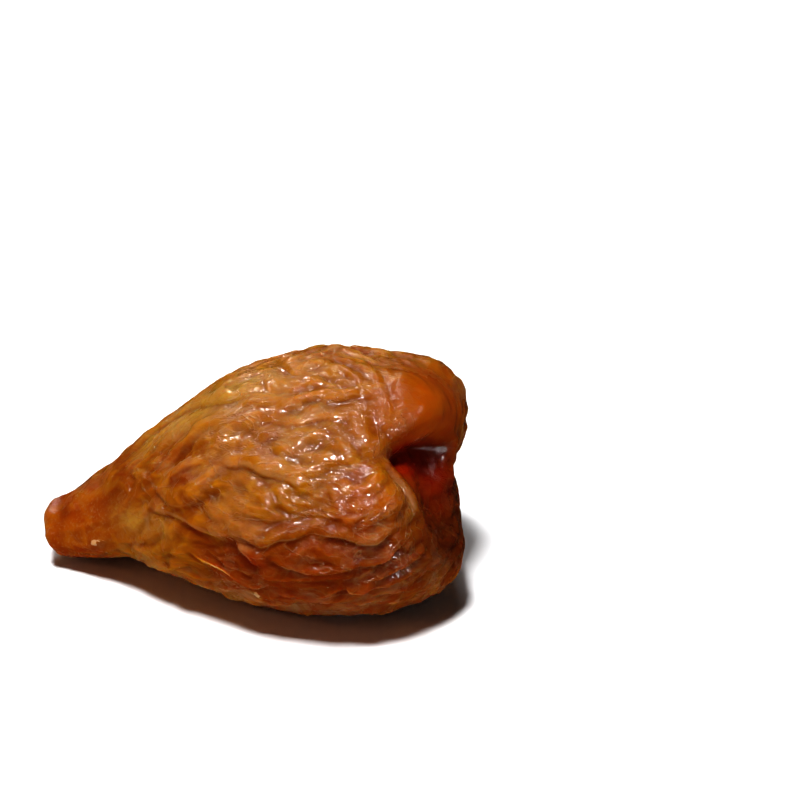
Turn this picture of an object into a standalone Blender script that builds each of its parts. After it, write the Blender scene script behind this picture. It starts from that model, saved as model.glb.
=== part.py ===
"""A dried fig lying on its side: one soft, flattened pear of leathery skin, with its neck at -X,
its sunken eye at +X, and the flat spot that it rests on at z = 0. Metres, +Z up.

The skin starts as a sphere, is drawn out into the smooth pear, and is then folded and wrinkled by
formula. Places on it are given as (mm from the neck's tip, degrees round the axis), with 0 degrees
in front (-Y), 90 on top and -90 underneath."""
import math

import bmesh
import bpy
import numpy as np

MM = 0.001

# Driving dimensions, in mm
LENGTH = 49.3
TIP_ROUND = 1.6
BASE_ROUND = 9.5
TIP_SLANT = 0.36
REST_DEPTH = 0.8

# How far a wrinkle widens as it runs: 0 would draw straight lines and 1 round bumps
FLOW_SHARE = 0.45
# How far the wrinkles turn off the fig's length, as a slope
SWIRL = 0.8
# Heights of the wrinkles, and of the low lumps under them, in mm
BROAD_WRINKLES = 0.26
FINE_WRINKLES = 0.36
LUMPS = 0.2
# How far a fold's lip leans over its crease, and how far the relief slumps down the sides, as shares of their height
TUCK = 0.9
SAG = 1.0

SKIN_COLOUR = (0.46, 0.15, 0.03, 1)
SKIN_ROUGHNESS = 0.35

SPHERE_STEPS = 5
SPHERE_CUTS = 2
MOST_TRIANGLES = 11400

# Along the fig, in mm: distance from the neck's tip, height of its axis over the table, and how far the skin
# stands above, below, in front (-Y) and behind (+Y) that axis
STATIONS = (
    (0.0, 4.0, 2.7, 3.4, 4.2, 3.6),
    (3.0, 4.4, 3.8, 3.6, 4.7, 4.0),
    (7.0, 5.8, 6.4, 4.3, 6.3, 6.2),
    (12.0, 7.8, 9.1, 5.8, 8.8, 9.8),
    (17.0, 10.0, 11.2, 8.5, 12.0, 13.0),
    (22.0, 12.2, 12.5, 11.7, 15.0, 15.4),
    (27.0, 13.5, 13.7, 13.8, 17.2, 17.2),
    (32.0, 14.0, 14.7, 14.6, 18.0, 18.0),
    (37.0, 14.0, 14.9, 14.4, 17.8, 17.8),
    (42.0, 13.6, 14.7, 13.2, 17.0, 17.0),
    (47.0, 13.2, 14.4, 11.6, 16.2, 15.6),
    (50.0, 13.0, 14.4, 11.0, 15.8, 14.5),
)

# Swellings and hollows: place, height in mm (negative sinks in), and reach in mm
LOBES = (
    ((45.6, 78), 1.6, 5.0),
    ((45.6, 122), 1.6, 5.0),
    ((48.6, -50), 1.5, 5.0),
    ((48.0, -84), 1.3, 4.6),
    ((12.0, -50), -0.4, 3.5),
    ((49.0, 42), -2.6, 4.4),
    ((44.0, 20), 1.0, 3.6),
    ((45.2, 27), 0.8, 2.2),
    ((22.0, 25), 0.5, 3.0),
    ((31.5, 6), 0.6, 3.0),
    ((38.0, -4), 0.4, 4.0),
    ((33.0, 84), 0.5, 5.0),
    ((24.0, 74), 0.5, 4.0),
    ((25.0, -12), -0.8, 4.5),
    ((36.0, 48), -0.4, 6.0),
    ((40.0, 190), 0.6, 6.0),
    ((30.0, 150), -0.7, 6.0),
    ((22.0, 130), 0.5, 5.0),
    ((30.0, 215), -0.6, 6.0),
)

# Where the skin is smoother: place, share of the wrinkles taken away, and reach in mm
CALM = (
    ((0.0, 0), 0.9, 9.0),
    ((9.0, 50), 0.6, 6.0),
    ((11.0, -15), 0.5, 5.0),
    ((46.5, 82), 0.9, 6.5),
    ((48.6, 50), 0.9, 5.0),
    ((44.0, 95), 0.5, 6.0),
    ((18.0, 70), 0.4, 6.0),
    ((16.0, 20), 0.3, 6.0),
)

# Folds: places along the crease, its depth, its half-width and the height of the lip on its left, in mm.
# Left is seen from outside with the first place behind, so a fold that runs to the eye lips on its upper side.
FOLDS = (
    # the deep cleft under the base's upper lobe, and its shallower end at the back
    (((42.3, 46), (44.3, 46), (46.0, 50), (47.2, 59), (48.4, 75), (49.1, 108)), 4.4, 2.5, 0.2),
    (((49.2, 80), (49.2, 130), (48.7, 172), (47.0, 182), (43.5, 184)), 2.2, 3.4, 0.0),
    # the rim of the cleft
    (((43.2, 40), (44.6, 39), (45.6, 34), (46.4, 29), (47.1, 22), (47.2, 15)), 0.35, 0.8, 0.6),
    # the edges of the lobes on the front, from the neck to the base
    (((16.0, 31), (17.9, 22), (19.8, 16), (22.0, 15), (24.0, 19), (25.8, 21)), 0.4, 0.8, 0.25),
    (((15.5, 16), (18.3, 13), (21.1, 8), (23.7, 3), (26.8, 1), (29.0, 3)), 0.4, 0.8, 0.3),
    (((24.7, 36), (27.2, 33), (28.7, 33), (31.0, 29), (33.0, 28), (34.6, 26), (36.4, 21)), 0.45, 0.8, 0.35),
    (((31.5, -16), (29.6, -10), (28.2, -4), (28.2, 3)), 0.9, 0.9, -0.3),
    (((28.4, 4), (30.3, 0), (31.7, -1), (33.6, 2), (35.2, 3), (36.7, 6)), 0.45, 0.5, 0.3),
    (((31.8, -5), (33.7, -10), (36.7, -13), (40.0, -11), (43.0, -8)), 0.5, 0.55, 0.3),
    (((30.6, -20), (33.1, -20), (37.5, -18), (41.0, -16)), 0.4, 0.5, 0.25),
    (((40.4, -16), (40.7, -23), (41.4, -29), (43.4, -22)), 0.35, 0.5, 0.25),
    (((37.5, 5), (40.5, 6), (42.4, 4.5), (44.2, 5), (45.1, 9), (46.1, 11)), 0.7, 0.6, 0.3),
    (((43.0, -20), (45.3, -18), (47.0, -15), (48.4, -11)), 0.45, 0.55, 0.25),
    (((41.8, -9), (44.7, -7), (45.8, -2), (46.8, 4)), 0.45, 0.5, 0.25),
    (((38.5, -24), (42.5, -26), (46.0, -27), (48.2, -26)), 0.45, 0.6, 0.25),
    (((32.0, -32), (34.2, -33), (36.8, -36), (40.0, -36)), 0.4, 0.6, 0.25),
    (((20.9, -10), (24.0, -17), (26.7, -22), (28.6, -29), (31.6, -30)), 0.35, 0.8, 0.25),
    (((38.5, 27), (38.9, 22), (39.3, 16)), 0.25, 0.6, 0.1),
    (((43.9, 14), (44.9, 20), (45.8, 24)), 0.3, 0.6, 0.2),
    # the folds above them
    (((12.5, 84), (17.6, 80), (21.7, 71), (24.7, 67), (28.0, 69)), 0.4, 0.9, 0.25),
    (((27.0, 96), (29.7, 83), (31.6, 77), (33.6, 82), (36.0, 87)), 0.35, 0.9, 0.25),
    (((27.0, 50), (30.3, 53), (33.4, 52), (36.7, 56), (40.2, 56)), 0.25, 0.7, 0.2),
    (((32.0, 61), (34.9, 64), (37.3, 64), (39.6, 68), (42.3, 68)), 0.25, 0.7, 0.2),
    # the back and the underside
    (((20.0, 118), (26.0, 124), (32.0, 120), (38.0, 126)), 0.5, 0.8, 0.3),
    (((16.0, 160), (23.0, 168), (30.0, 172), (37.0, 166), (44.0, 172)), 0.7, 0.9, 0.4),
    (((30.0, 146), (36.0, 148), (42.0, 142), (46.0, 146)), 0.5, 0.8, 0.3),
    (((24.0, 196), (31.0, 204), (38.0, 198), (45.0, 204)), 0.6, 0.8, 0.4),
    (((20.0, 222), (27.0, 228), (34.0, 224)), 0.5, 0.8, 0.3),
)


def spline(points, samples):
    """A Catmull-Rom curve through the points, as many samples from each point to the next."""
    knots = np.array(points, float)
    knots = np.vstack([2 * knots[0] - knots[1], knots, 2 * knots[-1] - knots[-2]])
    u = np.linspace(0, 1, samples, endpoint=False)[:, None]
    runs = []
    for a, b, c, d in zip(knots, knots[1:], knots[2:], knots[3:]):
        runs.append(b + 0.5 * u * (c - a + u * (2 * a - 5 * b + 4 * c - d + u * (3 * (b - c) + d - a))))
    return np.vstack(runs + [knots[-2]])


def closing(x):
    """How far open the body is along its length: 1 in the middle, and 0 at both rounded ends."""
    tip = np.clip(1 - x / TIP_ROUND, 0, 1)
    base = np.clip(1 - (LENGTH - x) / BASE_ROUND, 0, 1)
    return (1 - tip**2.4) ** (1 / 2.4) * (1 - base**2.8) ** (1 / 2.8)


def body_profile():
    """Along the body: distance from the tip, axis height, the four reaches, the opening, and the area so far."""
    stations = spline(STATIONS, 40)
    x = LENGTH * (1 - np.cos(np.linspace(0, math.pi, 1500))) / 2
    sizes = [np.interp(x, stations[:, 0], stations[:, column]) for column in range(1, 6)]
    opened = closing(x)
    radius = opened * sum(sizes[1:]) / 4
    bands = np.hypot(np.diff(x), np.diff(radius)) * (radius[1:] + radius[:-1]) / 2
    area = np.concatenate([[0], np.cumsum(bands)])
    return [x, *sizes, opened, area / area[-1]]


def pear(share, angle):
    """The smooth body's point, in mm, at a share of its area counted from the tip and an angle round its axis."""
    x, axis, top, bottom, front, back, opened, area = body_profile()
    x, axis, top, bottom, front, back, opened = [
        np.interp(share, area, size) for size in (x, axis, top, bottom, front, back, opened)
    ]
    up, near = np.sin(angle), np.cos(angle)
    y = -opened * near * np.where(near > 0, front, back)
    rise = opened * up * np.where(up > 0, top, bottom)
    slant = TIP_SLANT * (rise - 0.2) * np.clip(1 - x / 7, 0, 1)
    return np.stack([x - slant, y, axis + rise], -1)


def share_at(x):
    profile = body_profile()
    return np.interp(x, profile[0], profile[-1])


def place(x, degrees):
    return pear(share_at(x), math.radians(degrees))


def unit(vectors):
    return vectors / np.maximum(np.linalg.norm(vectors, axis=-1, keepdims=True), 1e-12)


def smooth_between(low, high, value):
    t = np.clip((value - low) / (high - low), 0, 1)
    return t * t * (3 - 2 * t)


def sphere_mesh():
    bm = bmesh.new()
    bmesh.ops.create_icosphere(bm, subdivisions=SPHERE_STEPS, radius=1.0)
    bmesh.ops.subdivide_edges(bm, edges=bm.edges[:], cuts=SPHERE_CUTS, use_grid_fill=True)
    bmesh.ops.triangulate(bm, faces=bm.faces[:])
    mesh = bpy.data.meshes.new("fig")
    bm.to_mesh(mesh)
    bm.free()
    return mesh


def read(collection, name, kind, size):
    values = np.empty(len(collection) * size, kind)
    collection.foreach_get(name, values)
    return values.reshape(-1, size)


def normals_of(points, faces):
    corners = points[faces]
    face_normals = np.cross(corners[:, 1] - corners[:, 0], corners[:, 2] - corners[:, 0])
    sums = [
        sum(np.bincount(faces[:, k], face_normals[:, axis], len(points)) for k in range(3)) for axis in range(3)
    ]
    return unit(np.stack(sums, 1))


class Skin:
    """The smooth body's surface as a net of points, over which a field can be spread along the flow or all ways."""

    def __init__(self, points, normals, flow, edges):
        self.count = len(points)
        self.first, self.second = edges[:, 0], edges[:, 1]
        along = points[self.second] - points[self.first]
        self.length2 = np.maximum((along**2).sum(1), 1e-9)
        self.every_way = self.step(np.ones(len(along)))
        swirl = self.noise(seed=2, times=200)
        flow = unit(flow + SWIRL * swirl[:, None] * np.cross(normals, flow))
        middle_flow = unit(flow[self.first] + flow[self.second])
        cosine2 = (along * middle_flow).sum(1) ** 2 / self.length2
        self.with_flow = self.step(cosine2**2 + FLOW_SHARE)

    def step(self, pull):
        """Weights of one spreading step, which widens a field by up to about 0.3 mm."""
        weights = pull * 0.04 / self.length2
        total = np.bincount(self.first, weights, self.count) + np.bincount(self.second, weights, self.count)
        most = np.maximum(total[self.first], total[self.second])
        return weights * np.minimum(1, 0.5 / most)

    def spread(self, field, weights, times):
        for _ in range(times):
            change = weights * (field[self.second] - field[self.first])
            gain = np.bincount(self.first, change, self.count)
            loss = np.bincount(self.second, change, self.count)
            field = field + gain - loss
        return field

    def noise(self, seed, times):
        """Smooth noise of unit strength, wider the more times it is spread."""
        field = self.spread(np.random.default_rng(seed).standard_normal(self.count), self.every_way, times)
        return field / field.std()

    def wrinkles(self, seed, fineness, rounds=7):
        """Ridges from -1 to 1 that run with the flow, fork and end, as skin too wide for its flesh buckles."""
        field = self.noise(seed, fineness)
        for _ in range(rounds):
            field = self.spread(field, self.with_flow, 3 * fineness)
            field = field - self.spread(field, self.every_way, 3 * fineness)
            field = self.spread(field, self.every_way, fineness // 2)
            field = np.tanh(1.2 * field / np.sqrt((field**2).mean()))
        return field


def puffy(field):
    """Turns even ridges into swollen ones with sharp creases between them, from 0 to 1."""
    return np.sqrt(np.clip((field + 1) / 2, 0, 1))


def fold_shape(points, normals, places, depth, width, lip):
    """One fold: the height it adds, how much of the skin it has taken up (0 to 1), and how its lip leans over it."""
    route = spline([place(*p) for p in places], 6)
    lengths = np.concatenate([[0], np.cumsum(np.linalg.norm(np.diff(route, axis=0), axis=1))])
    reach = 4 * width
    near = ((points - route.mean(0)) ** 2).sum(1) < (lengths[-1] / 2 + reach) ** 2
    chosen = np.flatnonzero(near)
    here, out = points[chosen], normals[chosen]
    best = np.full(len(here), 1e9)
    side = np.zeros(len(here))
    progress = np.zeros(len(here))
    away = np.zeros((len(here), 3))
    for a, b, start, end in zip(route, route[1:], lengths, lengths[1:]):
        run = b - a
        t = np.clip(((here - a) @ run) / (run @ run), 0, 1)
        gap = here - (a + t[:, None] * run)
        distance = np.linalg.norm(gap, axis=1)
        closer = distance < best
        best = np.where(closer, distance, best)
        left = (np.cross(out, run) * gap).sum(1)
        side = np.where(closer, np.sign(left), side)
        progress = np.where(closer, start + t * (end - start), progress)
        away = np.where(closer[:, None], gap, away)
    fade = min(3 * width, lengths[-1] / 3)
    taper = smooth_between(0, fade, progress) * smooth_between(0, fade, lengths[-1] - progress)
    across = side * best / width * (1 if lip >= 0 else -1)
    crease = np.exp(-np.where(across > 0, across / 0.7, -across / 1.3) ** 1.5)
    swell = np.exp(-(((across - 1.4) / 1.1) ** 2))
    height = taper * (abs(lip) * swell - depth * crease)
    taken = taper * np.exp(-((across / 2.0) ** 2))
    lean = -unit(away) * (taper * TUCK * abs(lip) * np.exp(-(((across - 0.9) / 0.7) ** 2)))[:, None]
    return chosen, height, taken, lean


def fold_heights(points, normals):
    height = np.zeros(len(points))
    taken = np.zeros(len(points))
    lean = np.zeros((len(points), 3))
    for places, depth, width, lip in FOLDS:
        chosen, added, used, leant = fold_shape(points, normals, places, depth, width, lip)
        height[chosen] += added
        taken[chosen] = np.maximum(taken[chosen], used)
        lean[chosen] += leant
    return height, taken, lean


def slumped(normals, height):
    """How far the relief slumps, which steepens the undersides of its ridges."""
    down = np.array([0, 0, -1.0])
    return SAG * height[:, None] * (down + normals[:, 2:] * normals)


def spots(points, table):
    """Soft round spots added up: each has a place, a strength and a reach in mm."""
    total = np.zeros(len(points))
    for where, strength, reach in table:
        total += strength * np.exp(-((points - place(*where)) ** 2).sum(1) / reach**2)
    return total


def wrinkle_heights(skin, points):
    """The relief all over: lumps, broad folds and fine wrinkles, calmer on the neck, upper lobe and cleft."""
    broad = puffy(skin.wrinkles(seed=11, fineness=8)) - 0.7
    fine = puffy(skin.wrinkles(seed=5, fineness=3)) - 0.7
    patches = 0.8 + 0.5 * np.clip(skin.noise(seed=3, times=150), -1.5, 1.5)
    creased = 0.45 + 0.6 * np.clip(skin.noise(seed=9, times=100), -0.6, 1.6)
    lumps = np.tanh(skin.noise(seed=7, times=70))
    calm = 1 - np.clip(spots(points, CALM), 0, 1)
    return calm * (BROAD_WRINKLES * patches * broad + FINE_WRINKLES * creased * fine + LUMPS * lumps)


def fold_skin(mesh):
    directions = unit(read(mesh.vertices, "co", np.float64, 3))
    faces = read(mesh.polygons, "vertices", np.int32, 3)
    edges = read(mesh.edges, "vertices", np.int32, 2)
    share = (1 + directions[:, 0]) / 2
    angle = np.arctan2(directions[:, 2], -directions[:, 1])
    points = pear(share, angle)
    normals = normals_of(points, faces)
    ahead = pear(np.clip(share + 0.002, 0, 1), angle) - pear(np.clip(share - 0.002, 0, 1), angle)
    points = points + normals * spots(points, LOBES)[:, None]
    skin = Skin(points, normals, unit(ahead), edges)
    folds, taken, lean = fold_heights(points, normals)
    relief = wrinkle_heights(skin, points) * (1 - 0.75 * taken)
    relief -= relief.mean()
    lean += slumped(normals, skin.spread(relief, skin.every_way, 12))
    points = points + normals * (folds + relief)[:, None] + lean
    lowest = points[:, 2].min() + REST_DEPTH
    points[:, 2] = np.maximum(points[:, 2], lowest)
    low, high = points.min(0), points.max(0)
    points -= [(low[0] + high[0]) / 2, (low[1] + high[1]) / 2, lowest]
    return points


def skin_material():
    skin = bpy.data.materials.new("dried fig skin")
    skin.use_nodes = True
    shader = skin.node_tree.nodes["Principled BSDF"]
    shader.inputs["Base Color"].default_value = SKIN_COLOUR
    shader.inputs["Roughness"].default_value = SKIN_ROUGHNESS
    return skin


def main():
    for obj in list(bpy.data.objects):
        bpy.data.objects.remove(obj)
    mesh = sphere_mesh()
    points = fold_skin(mesh)
    mesh.vertices.foreach_set("co", (points * MM).ravel())
    mesh.update()
    mesh.shade_smooth()
    mesh.materials.append(skin_material())
    fig = bpy.data.objects.new("fig", mesh)
    bpy.context.scene.collection.objects.link(fig)
    thin = fig.modifiers.new("thin", "DECIMATE")
    thin.ratio = MOST_TRIANGLES / len(mesh.polygons)


main()
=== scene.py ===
"""The looks of a dried fig lying on its side: the solid's own folds made finer, with fine wrinkles,
amber skin that light enters, and a pale studio round it. Metres, +Z up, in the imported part's frame.

Places on the skin are given as (mm from the neck's tip, degrees round the axis), with 0 degrees in
front (-Y), 90 on top and -90 underneath."""
import math

import bmesh
import bpy
import numpy as np
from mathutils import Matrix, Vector


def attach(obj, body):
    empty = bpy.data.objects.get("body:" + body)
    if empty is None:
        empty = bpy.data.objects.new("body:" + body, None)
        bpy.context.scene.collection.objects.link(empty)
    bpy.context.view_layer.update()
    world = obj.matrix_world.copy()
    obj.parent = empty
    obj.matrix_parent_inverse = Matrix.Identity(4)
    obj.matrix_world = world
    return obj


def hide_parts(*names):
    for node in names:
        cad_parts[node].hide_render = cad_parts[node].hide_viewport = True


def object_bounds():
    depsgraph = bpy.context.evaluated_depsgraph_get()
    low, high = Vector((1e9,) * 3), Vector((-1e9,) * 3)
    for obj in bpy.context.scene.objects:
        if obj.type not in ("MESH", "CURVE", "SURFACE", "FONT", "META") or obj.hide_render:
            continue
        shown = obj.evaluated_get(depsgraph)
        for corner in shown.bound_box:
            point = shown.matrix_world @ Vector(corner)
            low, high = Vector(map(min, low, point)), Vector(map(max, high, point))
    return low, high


MM = 0.001

# Driving dimensions, in mm: the length without the folds, how far each end's rounding reaches along the fig, and
# how much of the underside is pressed flat where it rests
LENGTH = 49.3
TIP_ROUND = 1.6
BASE_ROUND = 9.5
REST_DEPTH = 0.8
# How square each end's rounding is: 2 would be an ellipse
TIP_SQUARENESS = 2.4
BASE_SQUARENESS = 2.8
# The cut end of the neck: its slant, how far along the fig the slant fades out, and the height over the axis that it
# turns about, in mm
TIP_SLANT = 0.36
SLANT_REACH = 7
SLANT_MIDDLE = 0.2

# How far a wrinkle widens as it runs: 0 would draw straight lines and 1 round bumps
FLOW_SHARE = 0.45
# How far the wrinkles turn off the fig's length, as a slope
SWIRL = 0.8
# Heights of the wrinkles, and of the low lumps under them, in mm
BROAD_WRINKLES = 0.26
FINE_WRINKLES = 0.36
LUMPS = 0.2
# How far a fold's lip leans over its crease, and how far the relief slumps down the sides, as shares of their height
TUCK = 0.9
SAG = 1.0
# The share of the wrinkles that a fold takes up in its crease
TAKEN_SHARE = 0.75
# The mean of a puffy field, taken off so that it neither swells nor shrinks the fig
PUFFY_MEAN = 0.7

# A fold's cross-section, in half-widths: the crease's reach on the lip's side and on the other, how steep it is, the
# lip's place and reach, how far the skin is taken up, and where and how far the lip leans
CREASE_REACH = (0.7, 1.3)
CREASE_POWER = 1.5
LIP_PLACE, LIP_REACH = 1.4, 1.1
TAKEN_REACH = 2.0
LEAN_PLACE, LEAN_REACH = 0.9, 0.7

# Samples from one station to the next, along the body's profile, and from one place of a fold to the next
STATION_SAMPLES = 40
PROFILE_STEPS = 1500
ROUTE_SAMPLES = 6
# The share of the body's area over which the direction of its flow is read
FLOW_STEP = 0.002

# The net that the solid is thinned from: a sphere of triangles halved so often, whose edges then get so many cuts
SPHERE_STEPS = 5
SPHERE_CUTS = 2

# What the fine net adds: the gain on the solid's own wrinkles, and the heights in mm of the puffs, crinkles, web of
# ridges, grain and stuck flakes
WRINKLE_GAIN = 1.2
PUFFS = 0.28
CRINKLES = 0.18
WEB = 0.08
GRAIN = 0.03
FLAKES = 0.2
# The shares of them that the calm places and the folds take away
FINE_CALM = 0.7
FINE_TAKEN = 0.5
# The lean of a full lip in mm, and how widely the relief is spread to tell the hollows and the crinkles from it
LIP_LEAN = 0.25
HOLLOW_SPREAD = 160
CRINKLE_SPREAD = 30

# Along the fig, in mm: distance from the neck's tip, height of its axis over the table, and how far the skin
# stands above, below, in front (-Y) and behind (+Y) that axis
STATIONS = (
    (0.0, 4.0, 2.7, 3.4, 4.2, 3.6),
    (3.0, 4.4, 3.8, 3.6, 4.7, 4.0),
    (7.0, 5.8, 6.4, 4.3, 6.3, 6.2),
    (12.0, 7.8, 9.1, 5.8, 8.8, 9.8),
    (17.0, 10.0, 11.2, 8.5, 12.0, 13.0),
    (22.0, 12.2, 12.5, 11.7, 15.0, 15.4),
    (27.0, 13.5, 13.7, 13.8, 17.2, 17.2),
    (32.0, 14.0, 14.7, 14.6, 18.0, 18.0),
    (37.0, 14.0, 14.9, 14.4, 17.8, 17.8),
    (42.0, 13.6, 14.7, 13.2, 17.0, 17.0),
    (47.0, 13.2, 14.4, 11.6, 16.2, 15.6),
    (50.0, 13.0, 14.4, 11.0, 15.8, 14.5),
)

# Swellings and hollows: place, height in mm (negative sinks in), and reach in mm
LOBES = (
    ((45.6, 78), 1.6, 5.0),
    ((45.6, 122), 1.6, 5.0),
    ((48.6, -50), 1.5, 5.0),
    ((48.0, -84), 1.3, 4.6),
    ((12.0, -50), -0.4, 3.5),
    ((49.0, 42), -2.6, 4.4),
    ((44.0, 20), 1.0, 3.6),
    ((45.2, 27), 0.8, 2.2),
    ((22.0, 25), 0.5, 3.0),
    ((31.5, 6), 0.6, 3.0),
    ((38.0, -4), 0.4, 4.0),
    ((33.0, 84), 0.5, 5.0),
    ((24.0, 74), 0.5, 4.0),
    ((25.0, -12), -0.8, 4.5),
    ((36.0, 48), -0.4, 6.0),
    ((40.0, 190), 0.6, 6.0),
    ((30.0, 150), -0.7, 6.0),
    ((22.0, 130), 0.5, 5.0),
    ((30.0, 215), -0.6, 6.0),
)

# Where the skin is smoother: place, share of the wrinkles taken away, and reach in mm
CALM = (
    ((0.0, 0), 0.9, 9.0),
    ((9.0, 50), 0.6, 6.0),
    ((11.0, -15), 0.5, 5.0),
    ((46.5, 82), 0.9, 6.5),
    ((48.6, 50), 0.9, 5.0),
    ((44.0, 95), 0.5, 6.0),
    ((18.0, 70), 0.4, 6.0),
    ((16.0, 20), 0.3, 6.0),
)

# Folds: places along the crease, its depth, its half-width and the height of the lip on its left, in mm.
# Left is seen from outside with the first place behind, so a fold that runs to the eye lips on its upper side.
FOLDS = (
    # the deep cleft under the base's upper lobe, and its shallower end at the back
    (((42.3, 46), (44.3, 46), (46.0, 50), (47.2, 59), (48.4, 75), (49.1, 108)), 4.4, 2.5, 0.2),
    (((49.2, 80), (49.2, 130), (48.7, 172), (47.0, 182), (43.5, 184)), 2.2, 3.4, 0.0),
    # the rim of the cleft
    (((43.2, 40), (44.6, 39), (45.6, 34), (46.4, 29), (47.1, 22), (47.2, 15)), 0.35, 0.8, 0.6),
    # the edges of the lobes on the front, from the neck to the base
    (((16.0, 31), (17.9, 22), (19.8, 16), (22.0, 15), (24.0, 19), (25.8, 21)), 0.4, 0.8, 0.25),
    (((15.5, 16), (18.3, 13), (21.1, 8), (23.7, 3), (26.8, 1), (29.0, 3)), 0.4, 0.8, 0.3),
    (((24.7, 36), (27.2, 33), (28.7, 33), (31.0, 29), (33.0, 28), (34.6, 26), (36.4, 21)), 0.45, 0.8, 0.35),
    (((31.5, -16), (29.6, -10), (28.2, -4), (28.2, 3)), 0.9, 0.9, -0.3),
    (((28.4, 4), (30.3, 0), (31.7, -1), (33.6, 2), (35.2, 3), (36.7, 6)), 0.45, 0.5, 0.3),
    (((31.8, -5), (33.7, -10), (36.7, -13), (40.0, -11), (43.0, -8)), 0.5, 0.55, 0.3),
    (((30.6, -20), (33.1, -20), (37.5, -18), (41.0, -16)), 0.4, 0.5, 0.25),
    (((40.4, -16), (40.7, -23), (41.4, -29), (43.4, -22)), 0.35, 0.5, 0.25),
    (((37.5, 5), (40.5, 6), (42.4, 4.5), (44.2, 5), (45.1, 9), (46.1, 11)), 0.7, 0.6, 0.3),
    (((43.0, -20), (45.3, -18), (47.0, -15), (48.4, -11)), 0.45, 0.55, 0.25),
    (((41.8, -9), (44.7, -7), (45.8, -2), (46.8, 4)), 0.45, 0.5, 0.25),
    (((38.5, -24), (42.5, -26), (46.0, -27), (48.2, -26)), 0.45, 0.6, 0.25),
    (((32.0, -32), (34.2, -33), (36.8, -36), (40.0, -36)), 0.4, 0.6, 0.25),
    (((20.9, -10), (24.0, -17), (26.7, -22), (28.6, -29), (31.6, -30)), 0.35, 0.8, 0.25),
    (((38.5, 27), (38.9, 22), (39.3, 16)), 0.25, 0.6, 0.1),
    (((43.9, 14), (44.9, 20), (45.8, 24)), 0.3, 0.6, 0.2),
    # the folds above them
    (((12.5, 84), (17.6, 80), (21.7, 71), (24.7, 67), (28.0, 69)), 0.4, 0.9, 0.25),
    (((27.0, 96), (29.7, 83), (31.6, 77), (33.6, 82), (36.0, 87)), 0.35, 0.9, 0.25),
    (((27.0, 50), (30.3, 53), (33.4, 52), (36.7, 56), (40.2, 56)), 0.25, 0.7, 0.2),
    (((32.0, 61), (34.9, 64), (37.3, 64), (39.6, 68), (42.3, 68)), 0.25, 0.7, 0.2),
    # the back and the underside
    (((20.0, 118), (26.0, 124), (32.0, 120), (38.0, 126)), 0.5, 0.8, 0.3),
    (((16.0, 160), (23.0, 168), (30.0, 172), (37.0, 166), (44.0, 172)), 0.7, 0.9, 0.4),
    (((30.0, 146), (36.0, 148), (42.0, 142), (46.0, 146)), 0.5, 0.8, 0.3),
    (((24.0, 196), (31.0, 204), (38.0, 198), (45.0, 204)), 0.6, 0.8, 0.4),
    (((20.0, 222), (27.0, 228), (34.0, 224)), 0.5, 0.8, 0.3),
)


def spline(points, samples):
    """A Catmull-Rom curve through the points, as many samples from each point to the next."""
    knots = np.array(points, float)
    knots = np.vstack([2 * knots[0] - knots[1], knots, 2 * knots[-1] - knots[-2]])
    u = np.linspace(0, 1, samples, endpoint=False)[:, None]
    runs = []
    for a, b, c, d in zip(knots, knots[1:], knots[2:], knots[3:]):
        runs.append(b + 0.5 * u * (c - a + u * (2 * a - 5 * b + 4 * c - d + u * (3 * (b - c) + d - a))))
    return np.vstack(runs + [knots[-2]])


def closing(x):
    """How far open the body is along its length: 1 in the middle, and 0 at both rounded ends."""
    tip = np.clip(1 - x / TIP_ROUND, 0, 1)
    base = np.clip(1 - (LENGTH - x) / BASE_ROUND, 0, 1)
    tip_opening = (1 - tip**TIP_SQUARENESS) ** (1 / TIP_SQUARENESS)
    return tip_opening * (1 - base**BASE_SQUARENESS) ** (1 / BASE_SQUARENESS)


def body_profile():
    """Along the body: distance from the tip, axis height, the four reaches, the opening, and the area so far."""
    stations = spline(STATIONS, STATION_SAMPLES)
    x = LENGTH * (1 - np.cos(np.linspace(0, math.pi, PROFILE_STEPS))) / 2
    sizes = [np.interp(x, stations[:, 0], stations[:, column]) for column in range(1, 6)]
    opened = closing(x)
    radius = opened * sum(sizes[1:]) / 4
    bands = np.hypot(np.diff(x), np.diff(radius)) * (radius[1:] + radius[:-1]) / 2
    area = np.concatenate([[0], np.cumsum(bands)])
    return [x, *sizes, opened, area / area[-1]]


def pear(share, angle):
    """The smooth body's point, in mm, at a share of its area counted from the tip and an angle round its axis."""
    x, axis, top, bottom, front, back, opened, area = body_profile()
    x, axis, top, bottom, front, back, opened = [
        np.interp(share, area, size) for size in (x, axis, top, bottom, front, back, opened)
    ]
    up, near = np.sin(angle), np.cos(angle)
    y = -opened * near * np.where(near > 0, front, back)
    rise = opened * up * np.where(up > 0, top, bottom)
    slant = TIP_SLANT * (rise - SLANT_MIDDLE) * np.clip(1 - x / SLANT_REACH, 0, 1)
    return np.stack([x - slant, y, axis + rise], -1)


def share_at(x):
    """The share of the body's area between the tip and a distance from it in mm."""
    profile = body_profile()
    return np.interp(x, profile[0], profile[-1])


def place(x, degrees):
    """The smooth body's point at a distance from the tip in mm and an angle in degrees."""
    return pear(share_at(x), math.radians(degrees))


def unit(vectors):
    return vectors / np.maximum(np.linalg.norm(vectors, axis=-1, keepdims=True), 1e-12)


def smooth_between(low, high, value):
    t = np.clip((value - low) / (high - low), 0, 1)
    return t * t * (3 - 2 * t)


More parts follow.
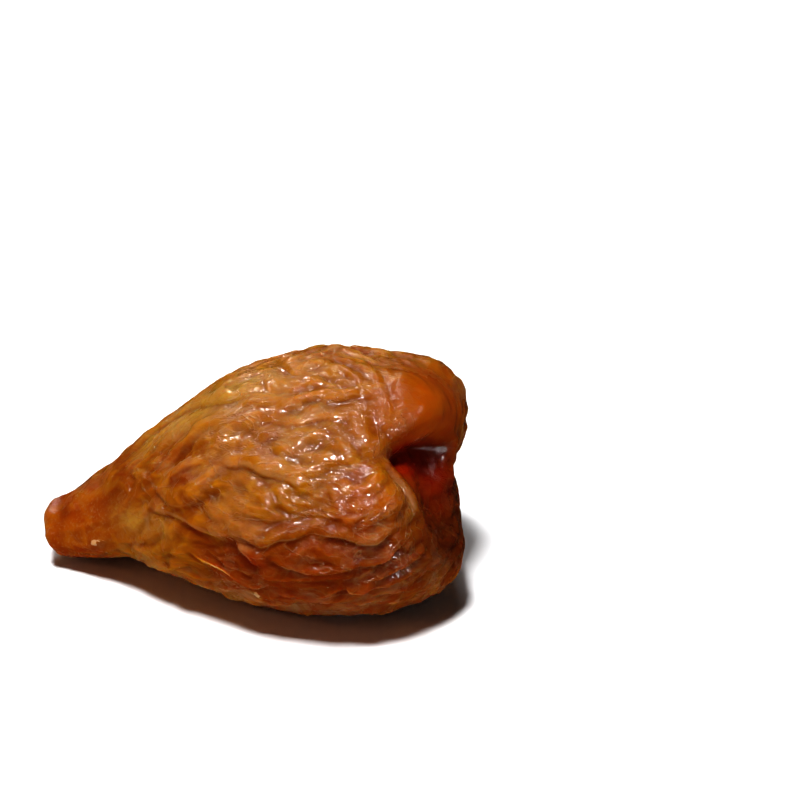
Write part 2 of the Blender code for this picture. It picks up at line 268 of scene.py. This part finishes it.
def sphere_mesh():
    """The net that the solid is thinned from, still on a sphere."""
    bm = bmesh.new()
    bmesh.ops.create_icosphere(bm, subdivisions=SPHERE_STEPS, radius=1.0)
    bmesh.ops.subdivide_edges(bm, edges=bm.edges[:], cuts=SPHERE_CUTS, use_grid_fill=True)
    bmesh.ops.triangulate(bm, faces=bm.faces[:])
    mesh = bpy.data.meshes.new("fig")
    bm.to_mesh(mesh)
    bm.free()
    return mesh


def read(collection, name, kind, size):
    """One value of every vertex or face of a mesh, as rows of the given size."""
    values = np.empty(len(collection) * size, kind)
    collection.foreach_get(name, values)
    return values.reshape(-1, size)


def normals_of(points, faces):
    """Normals at the points of a net of triangles."""
    corners = points[faces]
    face_normals = np.cross(corners[:, 1] - corners[:, 0], corners[:, 2] - corners[:, 0])
    sums = [
        sum(np.bincount(faces[:, k], face_normals[:, axis], len(points)) for k in range(3)) for axis in range(3)
    ]
    return unit(np.stack(sums, 1))


class Skin:
    """The smooth body's surface as a net of points, over which a field can be spread along the flow or all ways."""

    def __init__(self, points, normals, flow, edges):
        self.count = len(points)
        self.first, self.second = edges[:, 0], edges[:, 1]
        along = points[self.second] - points[self.first]
        self.length2 = np.maximum((along**2).sum(1), 1e-9)
        self.every_way = self.step(np.ones(len(along)))
        swirl = self.noise(seed=2, times=200)
        flow = unit(flow + SWIRL * swirl[:, None] * np.cross(normals, flow))
        middle_flow = unit(flow[self.first] + flow[self.second])
        cosine2 = (along * middle_flow).sum(1) ** 2 / self.length2
        self.with_flow = self.step(cosine2**2 + FLOW_SHARE)

    def step(self, pull):
        """Weights of one spreading step, which widens a field by up to about 0.3 mm."""
        weights = pull * 0.04 / self.length2
        total = np.bincount(self.first, weights, self.count) + np.bincount(self.second, weights, self.count)
        most = np.maximum(total[self.first], total[self.second])
        return weights * np.minimum(1, 0.5 / most)

    def spread(self, field, weights, times):
        for _ in range(times):
            change = weights * (field[self.second] - field[self.first])
            gain = np.bincount(self.first, change, self.count)
            loss = np.bincount(self.second, change, self.count)
            field = field + gain - loss
        return field

    def noise(self, seed, times):
        """Smooth noise of unit strength, wider the more times it is spread."""
        field = self.spread(np.random.default_rng(seed).standard_normal(self.count), self.every_way, times)
        return field / field.std()

    def wrinkles(self, seed, fineness, rounds=7):
        """Ridges from -1 to 1 that run with the flow, fork and end, as skin too wide for its flesh buckles."""
        field = self.noise(seed, fineness)
        for _ in range(rounds):
            field = self.spread(field, self.with_flow, 3 * fineness)
            field = field - self.spread(field, self.every_way, 3 * fineness)
            field = self.spread(field, self.every_way, fineness // 2)
            field = np.tanh(1.2 * field / np.sqrt((field**2).mean()))
        return field


def puffy(field):
    """Turns even ridges into swollen ones with sharp creases between them, from 0 to 1."""
    return np.sqrt(np.clip((field + 1) / 2, 0, 1))


def fold_shape(points, normals, places, depth, width, lip):
    """One fold: the height it adds, how much of the skin it has taken up (0 to 1), and how its lip leans over it."""
    route = spline([place(*p) for p in places], ROUTE_SAMPLES)
    lengths = np.concatenate([[0], np.cumsum(np.linalg.norm(np.diff(route, axis=0), axis=1))])
    reach = 4 * width
    near = ((points - route.mean(0)) ** 2).sum(1) < (lengths[-1] / 2 + reach) ** 2
    chosen = np.flatnonzero(near)
    here, out = points[chosen], normals[chosen]
    best = np.full(len(here), 1e9)
    side = np.zeros(len(here))
    progress = np.zeros(len(here))
    away = np.zeros((len(here), 3))
    for a, b, start, end in zip(route, route[1:], lengths, lengths[1:]):
        run = b - a
        t = np.clip(((here - a) @ run) / (run @ run), 0, 1)
        gap = here - (a + t[:, None] * run)
        distance = np.linalg.norm(gap, axis=1)
        closer = distance < best
        best = np.where(closer, distance, best)
        left = (np.cross(out, run) * gap).sum(1)
        side = np.where(closer, np.sign(left), side)
        progress = np.where(closer, start + t * (end - start), progress)
        away = np.where(closer[:, None], gap, away)
    fade = min(3 * width, lengths[-1] / 3)
    taper = smooth_between(0, fade, progress) * smooth_between(0, fade, lengths[-1] - progress)
    across = side * best / width * (1 if lip >= 0 else -1)
    off_crease = np.where(across > 0, across / CREASE_REACH[0], -across / CREASE_REACH[1])
    crease = np.exp(-off_crease**CREASE_POWER)
    swell = np.exp(-(((across - LIP_PLACE) / LIP_REACH) ** 2))
    height = taper * (abs(lip) * swell - depth * crease)
    taken = taper * np.exp(-((across / TAKEN_REACH) ** 2))
    leaning = np.exp(-(((across - LEAN_PLACE) / LEAN_REACH) ** 2))
    lean = -unit(away) * (taper * TUCK * abs(lip) * leaning)[:, None]
    return chosen, height, taken, lean


def fold_heights(points, normals):
    """All the folds together: the height they add, how much of the skin they have taken up, and their lips' lean."""
    height = np.zeros(len(points))
    taken = np.zeros(len(points))
    lean = np.zeros((len(points), 3))
    for places, depth, width, lip in FOLDS:
        chosen, added, used, leant = fold_shape(points, normals, places, depth, width, lip)
        height[chosen] += added
        taken[chosen] = np.maximum(taken[chosen], used)
        lean[chosen] += leant
    return height, taken, lean


def slumped(normals, height):
    """How far the relief slumps, which steepens the undersides of its ridges."""
    down = np.array([0, 0, -1.0])
    return SAG * height[:, None] * (down + normals[:, 2:] * normals)


def spots(points, table):
    """Soft round spots added up: each has a place, a strength and a reach in mm."""
    total = np.zeros(len(points))
    for where, strength, reach in table:
        total += strength * np.exp(-((points - place(*where)) ** 2).sum(1) / reach**2)
    return total


def wrinkle_heights(skin, points):
    """The relief all over: lumps, broad folds and fine wrinkles, calmer on the neck, upper lobe and cleft."""
    broad = puffy(skin.wrinkles(seed=11, fineness=8)) - PUFFY_MEAN
    fine = puffy(skin.wrinkles(seed=5, fineness=3)) - PUFFY_MEAN
    patches = 0.8 + 0.5 * np.clip(skin.noise(seed=3, times=150), -1.5, 1.5)
    creased = 0.45 + 0.6 * np.clip(skin.noise(seed=9, times=100), -0.6, 1.6)
    lumps = np.tanh(skin.noise(seed=7, times=70))
    calm = 1 - np.clip(spots(points, CALM), 0, 1)
    return calm * (BROAD_WRINKLES * patches * broad + FINE_WRINKLES * creased * fine + LUMPS * lumps)


def net_edges(faces):
    """The net's edges, and for each face the index of its edge from corner 0 to 1, 1 to 2 and 2 to 0."""
    ends = np.concatenate([faces[:, [0, 1]], faces[:, [1, 2]], faces[:, [2, 0]]])
    edges, index = np.unique(np.sort(ends, axis=1), axis=0, return_inverse=True)
    return edges, index.reshape(3, -1).T


def halved(faces, edges, sides, count):
    """Each triangle cut into four at the middle of its edges, whose new points follow the old ones."""
    a, b, c = faces.T
    ab, bc, ca = (sides + count).T
    return np.concatenate([np.stack(f, 1) for f in ((a, ab, ca), (ab, b, bc), (ca, bc, c), (ab, bc, ca))])


def with_middles(field, edges):
    """A field on the halved net: its old points, then the middles of its edges."""
    return np.concatenate([field, (field[edges[:, 0]] + field[edges[:, 1]]) / 2])


def flow_over(share, angle):
    """The direction from the neck to the base along the smooth body's surface."""
    ahead, behind = np.clip(share + FLOW_STEP, 0, 1), np.clip(share - FLOW_STEP, 0, 1)
    return unit(pear(ahead, angle) - pear(behind, angle))


def smooth_body(directions, faces):
    """The body with its lobes and no folds, for a sphere's points and faces: its points, normals and flow."""
    share, angle = (1 + directions[:, 0]) / 2, np.arctan2(directions[:, 2], -directions[:, 1])
    points = pear(share, angle)
    normals = normals_of(points, faces)
    return points + normals * spots(points, LOBES)[:, None], normals, flow_over(share, angle)


def fine_heights(skin, calm, taken):
    """The relief that only the fine net can carry: puffs, crinkles, a thin web of ridges, and grain."""
    patches = 0.7 + 0.4 * np.clip(skin.noise(seed=23, times=300), -1.0, 1.2)
    crinkles = patches * (puffy(skin.wrinkles(seed=21, fineness=3)) - PUFFY_MEAN)
    grain = skin.wrinkles(seed=22, fineness=2)
    swells = puffy(skin.wrinkles(seed=25, fineness=7)) - PUFFY_MEAN
    web = 1 - np.abs(skin.wrinkles(seed=24, fineness=3)) - 0.5
    return calm * (PUFFS * swells + CRINKLES * crinkles + WEB * web + GRAIN * grain) * (1 - FINE_TAKEN * taken)


def folded_skin():
    """The fine skin: its points in the part's frame in mm, its faces, and the fields that colour it."""
    mesh = sphere_mesh()
    directions = unit(read(mesh.vertices, "co", np.float64, 3))
    faces = read(mesh.polygons, "vertices", np.int32, 3)
    bpy.data.meshes.remove(mesh)
    edges, sides = net_edges(faces)

    # the net that the solid is thinned from, which gives the wrinkles and where the frame's origin is
    points, normals, flow = smooth_body(directions, faces)
    skin = Skin(points, normals, flow, edges)
    folds, taken, lean = fold_heights(points, normals)
    wrinkled = wrinkle_heights(skin, points)
    relief = wrinkled * (1 - TAKEN_SHARE * taken)
    mean_relief = relief.mean()
    sagging = skin.spread(relief - mean_relief, skin.every_way, 12)
    lean += slumped(normals, sagging)
    points = points + normals * (folds + relief - mean_relief)[:, None] + lean
    low, high = points.min(0), points.max(0)
    offset = np.array([(low[0] + high[0]) / 2, (low[1] + high[1]) / 2, low[2] + REST_DEPTH])

    # the fine net, with the same folds and wrinkles and the fine relief on them
    fine_faces = halved(faces, edges, sides, len(points))
    smooth, normals, flow = smooth_body(unit(with_middles(directions, edges)), fine_faces)
    fine_skin = Skin(smooth, normals, flow, net_edges(fine_faces)[0])
    folds, taken, lean = fold_heights(smooth, normals)
    lip_highlights = np.linalg.norm(lean, axis=1) / LIP_LEAN
    lean += slumped(normals, with_middles(sagging, edges))
    fields = {name: np.clip(spots(smooth, table), 0, 1) for name, table in COLOUR_SPOTS.items()}
    # where the folds' lips lean most, for a painted highlight along them
    fields["lip"] = np.clip(lip_highlights, 0, 1)
    fields["calm"] = 1 - FINE_CALM * np.clip(spots(smooth, CALM), 0, 1)
    wrinkled = fine_skin.spread(with_middles(wrinkled, edges), fine_skin.every_way, 3)
    relief = WRINKLE_GAIN * (wrinkled * (1 - TAKEN_SHARE * taken) - mean_relief)
    height = folds + relief + fine_heights(fine_skin, fields["calm"], taken) + FLAKES * fields["pale"]
    broad = fine_skin.spread(height, fine_skin.every_way, HOLLOW_SPREAD)
    local = fine_skin.spread(height, fine_skin.every_way, CRINKLE_SPREAD)
    fields["hollow"] = np.clip(broad - height, -1.5, 1.5)
    fields["crinkle"] = np.clip(local - height, -0.5, 0.5)
    points = smooth + normals * height[:, None] + lean - offset
    points[:, 2] = np.maximum(points[:, 2], 0)
    return points, fine_faces, fields


def skin_object():
    points, faces, fields = folded_skin()
    mesh = bpy.data.meshes.new("skin")
    mesh.from_pydata((points * MM).tolist(), [], faces.tolist())
    mesh.shade_smooth()
    for name, values in fields.items():
        layer = mesh.attributes.new(name, "FLOAT", "POINT")
        layer.data.foreach_set("value", values.astype(np.float32))
    skin = bpy.data.objects.new("skin", mesh)
    bpy.context.scene.collection.objects.link(skin)
    return skin


class Nodes:
    """Short ways to build a material's nodes."""

    def __init__(self, name):
        self.material = bpy.data.materials.new(name)
        self.material.use_nodes = True
        self.tree = self.material.node_tree
        self.shader = self.tree.nodes["Principled BSDF"]

    def add(self, kind, **inputs):
        """A node with its inputs fed, where _ stands for a space in an input's name."""
        node = self.tree.nodes.new(kind)
        for name, value in inputs.items():
            self.feed(node, name.replace("_", " "), value)
        return node

    def feed(self, node, name, value):
        """Links another node's output to an input, or sets it to a value."""
        socket = node.inputs[name]
        if isinstance(value, bpy.types.NodeSocket):
            self.tree.links.new(value, socket)
        else:
            socket.default_value = value

    def field(self, name):
        """A field that the skin's mesh carries."""
        node = self.tree.nodes.new("ShaderNodeAttribute")
        node.attribute_name = name
        return node.outputs["Fac"]

    def noise(self, scale, detail=3.0, distortion=0.0, roughness=0.5, along=1.0):
        """Noise of a scale per metre, which is drawn out along the fig where along is under 1."""
        place = self.tree.nodes.new("ShaderNodeTexCoord").outputs["Object"]
        if along != 1.0:
            stretch = self.add("ShaderNodeVectorMath", Vector=place)
            stretch.operation = "MULTIPLY"
            stretch.inputs[1].default_value = (along, 1, 1)
            place = stretch.outputs["Vector"]
        node = self.add("ShaderNodeTexNoise", Vector=place, Scale=scale, Detail=detail, Distortion=distortion)
        node.inputs["Roughness"].default_value = roughness
        return node.outputs["Fac"]

    def ridges(self, scale, width, along):
        """Thin lines that wander over the skin, 1 in their middle."""
        height = self.noise(scale, 3, 1.2, 0.5, along)
        off_line = self.math("ABSOLUTE", self.math("SUBTRACT", height, 0.5))
        return self.fit(off_line, 0, width, 1, 0)

    def fit(self, value, low, high, to_low=0.0, to_high=1.0):
        """The value eased from one range into another, and kept inside it."""
        node = self.add("ShaderNodeMapRange")
        node.interpolation_type = "SMOOTHSTEP"
        self.feed(node, "Value", value)
        for name, number in zip(("From Min", "From Max", "To Min", "To Max"), (low, high, to_low, to_high)):
            node.inputs[name].default_value = number
        return node.outputs["Result"]

    def math(self, operation, a, b=0.0):
        node = self.tree.nodes.new("ShaderNodeMath")
        node.operation = operation
        for index, value in enumerate((a, b)):
            if isinstance(value, bpy.types.NodeSocket):
                self.tree.links.new(value, node.inputs[index])
            else:
                node.inputs[index].default_value = value
        return node.outputs[0]

    def times(self, a, b):
        return self.math("MULTIPLY", a, b)

    def plus(self, a, b):
        return self.math("ADD", a, b)

    def bump(self, height, distance):
        """A normal from a height, of which 1 stands for the distance in metres."""
        node = self.add("ShaderNodeBump", Strength=1.0, Distance=distance)
        self.feed(node, "Height", height)
        return node.outputs["Normal"]

    def mix(self, share, a, b):
        """The colour a, and more of b the larger the share."""
        node = self.tree.nodes.new("ShaderNodeMix")
        node.data_type = "RGBA"
        sockets = [s for s in node.inputs if s.enabled]
        for socket, value in zip(sockets, (share, a, b)):
            if isinstance(value, bpy.types.NodeSocket):
                self.tree.links.new(value, socket)
            else:
                socket.default_value = value
        return next(s for s in node.outputs if s.enabled)


# Where the skin is redder or yellower, and painted shade, dark red, in the cleft's top and a crease in front: place,
# strength and reach in mm
REDDENED = (
    ((26.0, -25), 0.7, 6.0),
    ((34.0, -22), 0.7, 6.0),
    ((42.0, -22), 0.7, 6.0),
    ((36.0, -2), 0.4, 4.0),
    ((12.0, 20), 0.5, 3.0),
    ((46.5, 74), 0.6, 6.0),
    ((48.5, -10), 0.9, 9.0),
    ((38.0, -35), 0.7, 9.0),
    ((47.0, 180), 0.8, 9.0),
    ((46.0, 105), 0.6, 5.0),
    ((48.5, 95), 0.8, 3.5),
    ((3.0, 0), 0.7, 9.0),
    ((15.0, 40), 0.4, 7.0),
    ((28.0, -14), 0.5, 4.0),
)
YELLOWED_AND_LIT = (
    ((22.0, 80), 1.0, 7.0),
    ((32.0, 72), 0.7, 6.0),
    ((34.0, 22), 0.6, 5.0),
    ((27.0, 12), 0.6, 4.0),
    ((37.0, 32), 0.5, 4.0),
    ((45.0, 27), 0.8, 2.4),
    ((26.0, 130), 0.8, 8.0),
    ((20.0, 215), 0.5, 8.0),
    # painted light low on the front-left, where more light falls
    ((14.0, -20), 0.9, 4.0),
    ((20.0, -25), 0.8, 4.0),
    ((0.3, 20), 0.7, 1.6),
)
# painted shade, dark red, in the cleft's top and a crease in front
PAINTED_SHADE_SPOTS = (
    ((46.3, 50), 1.0, 2.4),
    ((47.8, 54), 1.0, 3.0),
    ((48.9, 66), 1.0, 3.4),
    ((49.1, 55), 0.6, 3.0),
    ((30.5, -9), 0.5, 1.6),
)

# Painted shade, brown, on the floor of the cleft and the base round it, where little light falls; the first two are
# real dark spots on the neck
BROWN_AND_SHADE = (
    ((3.6, 46), 0.6, 0.9),
    ((10.0, 42), 0.4, 2.0),
    ((49.2, 25), 1.0, 3.4),
    ((49.1, -2), 1.0, 4.0),
    ((49.0, -26), 0.25, 3.5),
    ((49.3, 110), 0.8, 4.0),
    ((49.3, -107), 0.9, 5.0),
    ((48.8, -85), 0.5, 4.0),
)

# Where thin skin glows with the light behind it, and where it is as pale as straw, as round the neck's cut end; the
# band along the top and the streaks low on the front are painted sheen and highlights
GLOWING = (
    ((46.5, 70), 0.7, 5.0),
    ((47.5, 95), 0.4, 5.0),
    ((44.0, 22), 0.4, 4.0),
    ((5.0, 30), 0.3, 6.0),
)
STRAWY_AND_SHEEN = (
    # painted sheen along the top band
    ((13.0, 76), 0.7, 2.6),
    ((16.5, 74), 1.0, 3.0),
    ((20.5, 72), 1.0, 3.0),
    ((24.5, 74), 1.0, 3.0),
    ((28.0, 80), 0.4, 3.0),
    # painted highlight streaks low on the front
    ((11.0, 20), 0.5, 1.6),
    ((13.0, 14), 0.7, 1.6),
    ((15.0, 10), 0.7, 1.6),
    ((18.0, 6), 0.7, 1.6),
    ((45.3, 32), 0.4, 1.4),
    ((46.8, 24), 0.3, 1.3),
) + tuple(((0.5, degrees), 0.8, 0.9) for degrees in range(-180, 180, 30))

# Where grey wax lies on the skin, and one painted highlight streak low on the front: place, strength and reach in mm
WAXED_AND_SHEEN = (
    ((9.5, -28), 0.9, 1.4),
    ((11.5, -36), 0.9, 1.8),
    ((14.0, -40), 0.9, 2.5),
    ((18.0, -42), 0.9, 3.0),
    ((23.0, -42), 1.0, 3.0),
    ((28.0, -40), 1.0, 3.0),
    ((33.0, -42), 1.0, 3.0),
    ((38.0, -42), 0.8, 3.0),
    ((44.0, -36), 0.9, 3.0),
    ((47.5, -34), 0.9, 3.0),
    ((29.0, -2), 0.9, 1.6),
    ((36.0, 44), 0.6, 4.0),
    ((27.0, 44), 0.5, 4.0),
    ((23.0, 52), 0.7, 3.0),
    # a painted highlight streak
    ((15.5, 9), 0.7, 1.3),
    ((30.0, 160), 0.5, 7.0),
)

# Where the skin is dry, with a fine grain
DRY = (
    ((0.0, 0), 1.0, 9.0),
    ((9.0, 30), 0.7, 5.0),
)

# Dry flakes stuck to the skin
PALE = (
    ((7.6, -5), 1.0, 0.4),
    ((7.9, -2), 1.0, 0.4),
    ((8.5, 0), 0.9, 0.35),
    ((9.1, 0), 0.7, 0.3),
    ((6.6, -6), 0.8, 0.25),
    ((29.8, -35), 1.4, 0.4),
)

COLOUR_SPOTS = {
    "reddened": REDDENED,
    "yellowed_and_lit": YELLOWED_AND_LIT,
    "painted_shade": PAINTED_SHADE_SPOTS,
    "brown_and_shade": BROWN_AND_SHADE,
    "glowing": GLOWING,
    "strawy_and_sheen": STRAWY_AND_SHEEN,
    "waxed_and_sheen": WAXED_AND_SHEEN,
    "dry": DRY,
    "pale": PALE,
}

# Skin colours, linear. The grey one is wax and dust, and also painted highlights; the umber one is painted shade on
# the cleft's floor and the base, and the neck's dark spots; the dark red one is the painted shade of the cleft's top.
AMBER = (0.22, 0.071, 0.001, 1)
YELLOW = (0.34, 0.145, 0.005, 1)
DEEP = (0.17, 0.026, 0.0005, 1)
# painted shade for the creases and hollows
CREASE_SHADE = (0.12, 0.012, 0.0006, 1)
HOLE_SHADE = (0.22, 0.014, 0.0006, 1)
UMBER_AND_SHADE = (0.08, 0.012, 0.0008, 1)
# grey wax and dust, also used for painted highlights
BLOOM_AND_SHEEN = (0.28, 0.15, 0.06, 1)
# straw-pale skin, also used for painted sheen and highlight streaks
STRAW_AND_SHEEN = (0.34, 0.2, 0.035, 1)
GLOW = (0.4, 0.085, 0.001, 1)
FLAKE = (0.5, 0.34, 0.17, 1)

# How the skin scatters and reflects light. The scale is in metres, for the red light, which goes the deepest.
SKIN_SHADER = {
    "Subsurface Weight": 0.9,
    "Subsurface Radius": (1.0, 0.4, 0.12),
    "Subsurface Scale": 0.0042,
    "IOR": 1.4,
    "Specular IOR Level": 0.1,
    "Coat Weight": 0.5,
    "Coat Roughness": 0.07,
}
# The heights of the skin's and the coat's bumps, in metres
SKIN_BUMP = 0.00012
COAT_BUMP = 0.00016

# The table: half its side in metres, and its colour
TABLE_HALF = 1.5
TABLE_WHITE = (0.86, 0.86, 0.87, 1)

# The studio: the world's light, the point that every lamp aims at, and the lamps. Each has a name, a place, a size in
# metres, its watts and its colour, and a sheen lamp shows only as glints, as a far window does.
WORLD_LIGHT = 0.02
LAMP_AIM = (0, 0, 0.01)
WHITE = (1, 1, 1)
LAMPS = (
    ("lamp above", (0.01, -0.4, 0.94), (0.16, 0.16), 11.7, WHITE),
    ("softbox behind", (-0.1, 0.3, 0.6), (0.16, 0.1), 0.7, WHITE),
    ("warm fill", (-0.45, -0.6, 0.35), (0.4, 0.4), 0.85, (1, 0.42, 0.22)),
)
SHEEN_LAMPS = (
    ("sheen left", (-0.42, 0.35, 0.42), (0.12, 0.08), 1.5, WHITE),
    ("sheen behind", (-0.15, 0.55, 0.45), (0.1, 0.06), 0.25, WHITE),
    ("sheen low", (-0.14, -0.6, 0.36), (0.12, 0.05), 1.4, WHITE),
    ("sheen side", (0.57, -0.12, 0.33), (0.05, 0.05), 0.6, WHITE),
    ("sheen right", (0.6, -0.3, 0.06), (0.08, 0.08), 2.0, WHITE),
)

# The camera, read from the photograph: its side in pixels, where the middle of the fig's box is in it, the scale
# there, and the angles in degrees round from the front and above the table. The distance and the sensor are in mm.
FRAME_PIXELS = 800
FIG_PIXEL = (254, 466)
PIXELS_PER_MM = 8.69
CAMERA_AZIMUTH = 15
CAMERA_ELEVATION = 24
CAMERA_DISTANCE = 400
SENSOR = 36


def skin_colour(n, fibres, speckle, waxy, lines):
    """Amber and deep skin in clouds, then the coloured places, painted light and shade on the relief, and the wax,
    dust and painted highlights on top.
    """
    hollow = n.field("hollow")
    colour = n.mix(n.fit(n.noise(110, 3), 0.4, 0.65, 0, 0.7), AMBER, DEEP)
    colour = n.mix(n.fit(n.noise(330, 2, 0.8), 0.45, 0.7, 0, 0.85), colour, YELLOW)
    # painted light and shade from the relief: the raised skin is painted yellowest, as thin skin lit through, and the
    # sunken skin reddest and darkest
    colour = n.mix(n.fit(hollow, 0.0, -0.4, 0, 0.6), colour, YELLOW)
    # yellower places, with painted light low on the front-left
    colour = n.mix(n.times(n.field("yellowed_and_lit"), 0.75), colour, YELLOW)
    colour = n.mix(n.times(n.field("reddened"), 0.8), colour, DEEP)
    colour = n.mix(n.times(n.field("glowing"), 0.8), colour, GLOW)
    # straw-pale streaks, and painted sheen on the top band and low on the front
    straw_and_sheen_streaks = n.times(n.field("strawy_and_sheen"), n.fit(fibres, 0.35, 0.6, 0.5, 1.0))
    colour = n.mix(n.times(straw_and_sheen_streaks, 0.8), colour, STRAW_AND_SHEEN)
    # painted shade in the hollows
    colour = n.mix(n.fit(hollow, 0.1, 0.9), colour, CREASE_SHADE)
    # painted shade in the crinkles' small hollows
    colour = n.mix(n.fit(n.field("crinkle"), 0.0, 0.15, 0, 0.4), colour, DEEP)
    # wax in grains, pale grey on the ridges of the web, dust, wax in patches, and painted highlights along the folds'
    # lips
    colour = n.mix(n.times(waxy, 0.28), colour, BLOOM_AND_SHEEN)
    colour = n.mix(n.times(lines, 0.32), colour, BLOOM_AND_SHEEN)
    dusty = n.times(n.fit(speckle, 0.5, 0.7), n.plus(n.field("dry"), 0.15))
    colour = n.mix(n.times(dusty, 0.35), colour, BLOOM_AND_SHEEN)
    # painted highlight along the folds' lips
    colour = n.mix(n.fit(n.field("lip"), 0.8, 1.0, 0, 0.4), colour, BLOOM_AND_SHEEN)
    patchy = n.times(n.field("waxed_and_sheen"), n.fit(n.noise(260, 4, 1.0), 0.38, 0.62))
    colour = n.mix(n.times(patchy, 0.7), colour, BLOOM_AND_SHEEN)
    # painted shade: the cleft's brown floor, the base round it and its dark red top, with the neck's real dark spots;
    # then the flakes with their ragged edges
    colour = n.mix(n.times(n.field("brown_and_shade"), 0.9), colour, UMBER_AND_SHADE)
    colour = n.mix(n.field("painted_shade"), colour, HOLE_SHADE)
    ragged = n.plus(n.field("pale"), n.fit(n.noise(1400, 3), 0.3, 0.7, -0.3, 0.3))
    return n.mix(n.fit(ragged, 0.5, 0.65, 0, 0.8), colour, FLAKE)


def skin_material():
    """Skin that light enters and scatters in, under a thin glossy coat with softer bumps than the skin's own."""
    n = Nodes("dried fig skin")
    calm = n.field("calm")
    fibres = n.noise(1500, 3, 0.8, 0.5, 0.25)
    speckle = n.noise(2600, 2, 0, 0.6)
    webbed = n.times(n.ridges(330, 0.035, 0.5), n.fit(n.noise(170, 2), 0.35, 0.55, 0.2, 1))
    lines = n.times(n.plus(webbed, n.times(n.ridges(800, 0.06, 0.5), 0.2)), calm)
    grainy = n.times(n.fit(n.noise(190, 4, 0.8), 0.5, 0.62), n.fit(n.noise(1700, 2), 0.35, 0.65, 0.35, 1))
    waxy = n.times(grainy, calm)
    shader = n.shader
    n.feed(shader, "Base Color", skin_colour(n, fibres, speckle, waxy, lines))
    n.feed(shader, "Roughness", n.fit(waxy, 0, 0.7, 0.25, 0.6))
    for name, value in SKIN_SHADER.items():
        shader.inputs[name].default_value = value
    height = n.plus(n.times(lines, 0.45), n.times(fibres, 0.5))
    height = n.plus(height, n.times(n.noise(1300, 5, 1.5, 0.6), 0.7))
    n.feed(shader, "Normal", n.bump(n.times(height, calm), SKIN_BUMP))
    coat_height = n.plus(n.times(lines, calm), n.times(n.noise(700, 3, 1.0, 0.5, 0.6), 1.3))
    coat_height = n.plus(coat_height, n.times(n.field("dry"), speckle))
    n.feed(shader, "Coat Normal", n.bump(coat_height, COAT_BUMP))
    return n.material


def floor_object():
    mesh = bpy.data.meshes.new("floor")
    corners = [(TABLE_HALF * x, TABLE_HALF * y, 0) for x, y in ((-1, -1), (1, -1), (1, 1), (-1, 1))]
    mesh.from_pydata(corners, [], [(0, 1, 2, 3)])
    floor = bpy.data.objects.new("floor", mesh)
    bpy.context.scene.collection.objects.link(floor)
    n = Nodes("white table")
    n.shader.inputs["Base Color"].default_value = TABLE_WHITE
    n.shader.inputs["Roughness"].default_value = 0.9
    n.shader.inputs["Specular IOR Level"].default_value = 0.0
    # a white table mirrored in the fig's underside would make it milky
    floor.visible_glossy = False
    mesh.materials.append(n.material)
    return floor


def area_light(name, place, size, watts, colour):
    light = bpy.data.lights.new(name, "AREA")
    light.shape = "RECTANGLE"
    light.size, light.size_y = size
    light.energy = watts
    light.color = colour
    lamp = bpy.data.objects.new(name, light)
    lamp.location = place
    lamp.rotation_euler = (Vector(LAMP_AIM) - Vector(place)).to_track_quat("-Z", "Y").to_euler()
    bpy.context.scene.collection.objects.link(lamp)
    return lamp


def camera_object(centre):
    azimuth, elevation = math.radians(CAMERA_AZIMUTH), math.radians(CAMERA_ELEVATION)
    back = Vector((
        math.sin(azimuth) * math.cos(elevation), -math.cos(azimuth) * math.cos(elevation), math.sin(elevation)
    ))
    right = Vector((math.cos(azimuth), math.sin(azimuth), 0))
    up = back.cross(right)
    middle = FRAME_PIXELS / 2
    target = centre + right * ((middle - FIG_PIXEL[0]) / PIXELS_PER_MM * MM)
    target += up * ((FIG_PIXEL[1] - middle) / PIXELS_PER_MM * MM)
    data = bpy.data.cameras.new("camera")
    data.sensor_width = SENSOR
    frame_mm = FRAME_PIXELS / PIXELS_PER_MM
    data.lens = SENSOR * CAMERA_DISTANCE / frame_mm
    camera = bpy.data.objects.new("camera", data)
    camera.location = target + back * (CAMERA_DISTANCE * MM)
    camera.rotation_euler = (-back).to_track_quat("-Z", "Y").to_euler()
    bpy.context.scene.collection.objects.link(camera)
    bpy.context.scene.camera = camera


def studio():
    world = bpy.data.worlds.new("studio")
    world.use_nodes = True
    background = world.node_tree.nodes["Background"]
    background.inputs["Color"].default_value = (1, 1, 1, 1)
    background.inputs["Strength"].default_value = WORLD_LIGHT
    bpy.context.scene.world = world
    bpy.context.scene.view_settings.view_transform = "Standard"
    bpy.context.scene.view_settings.look = "High Contrast"
    for settings in LAMPS:
        area_light(*settings)
    for settings in SHEEN_LAMPS:
        area_light(*settings).visible_diffuse = False


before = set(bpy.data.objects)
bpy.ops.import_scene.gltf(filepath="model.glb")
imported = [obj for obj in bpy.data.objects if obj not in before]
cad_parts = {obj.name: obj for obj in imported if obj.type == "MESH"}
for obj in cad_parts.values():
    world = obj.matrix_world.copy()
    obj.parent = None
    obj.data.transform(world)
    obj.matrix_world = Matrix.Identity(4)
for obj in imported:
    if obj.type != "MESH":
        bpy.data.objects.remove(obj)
cad_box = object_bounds()
low, high = [Vector(corner) for corner in cad_box]
camera_object((low + high) / 2)
studio()
floor_object()
skin = skin_object()
skin.data.materials.append(skin_material())
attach(skin, "root")
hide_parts("fig")
